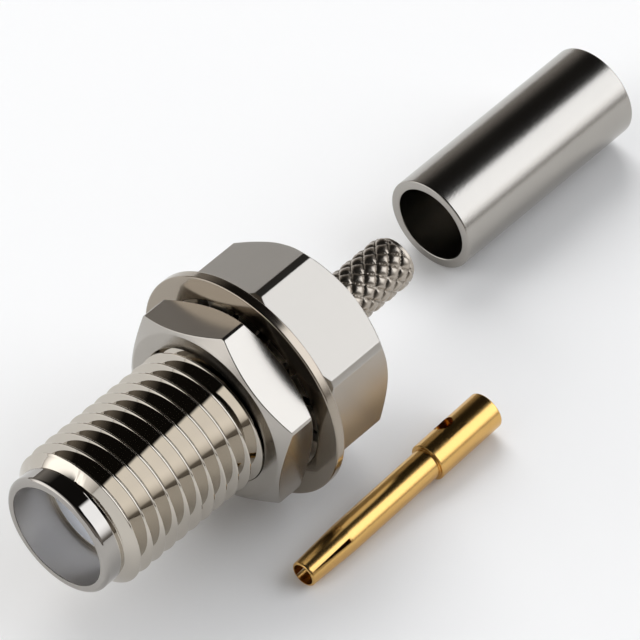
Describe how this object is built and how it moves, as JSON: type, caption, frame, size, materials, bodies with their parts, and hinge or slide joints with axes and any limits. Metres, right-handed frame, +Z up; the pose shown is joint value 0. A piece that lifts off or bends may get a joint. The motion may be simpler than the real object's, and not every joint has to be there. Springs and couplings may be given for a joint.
{
  "type": "coaxial bulkhead jack with crimp ferrule and loose contact",
  "caption": "Threaded coaxial bulkhead jack with hexagon, panel nut, toothed lock washer and knurled crimp tail, with its crimp ferrule and slotted gold contact lying beside it.",
  "frame": {"origin": "centre of the socket's mouth, in the plane of the nose's front face", "axes": "+Y along the axis of the jack from the nose to the crimp tail, +Z up from the surface that the pieces lie on"},
  "size_m": [0.0118, 0.035, 0.0104],
  "materials": {
    "body_nickel": "bright nickel plating on turned brass",
    "nut_nickel": "bright nickel plating on brass",
    "washer_nickel": "nickel plating on stamped bronze sheet",
    "ferrule_nickel": "satin nickel plating on drawn tube",
    "contact_gold": "polished gold plating",
    "insulator_white": "smooth white fluoropolymer"
  },
  "bodies": {
    "shell": {"connector_body": "body_nickel", "insulator": "insulator_white", "crimp_ferrule": "ferrule_nickel", "center_contact": "contact_gold"},
    "washer": {"lock_washer": "washer_nickel"},
    "nut": {"hex_nut": "nut_nickel"}
  },
  "joints": [
    {"name": "washer_travel", "type": "slide", "parent": "shell", "child": "washer", "axis": [0, -1, 0], "range_m": [0, 0.00917]},
    {"name": "nut_turn", "type": "hinge", "parent": "washer", "child": "nut", "pos_m": [0, 0, 0], "axis": [0, -1, 0], "range_deg": [0, 4680]}
  ],
  "couplings": [
    {"joint": "nut_turn", "follows": "washer_travel", "rad_per_m": 8905.2}
  ]
}
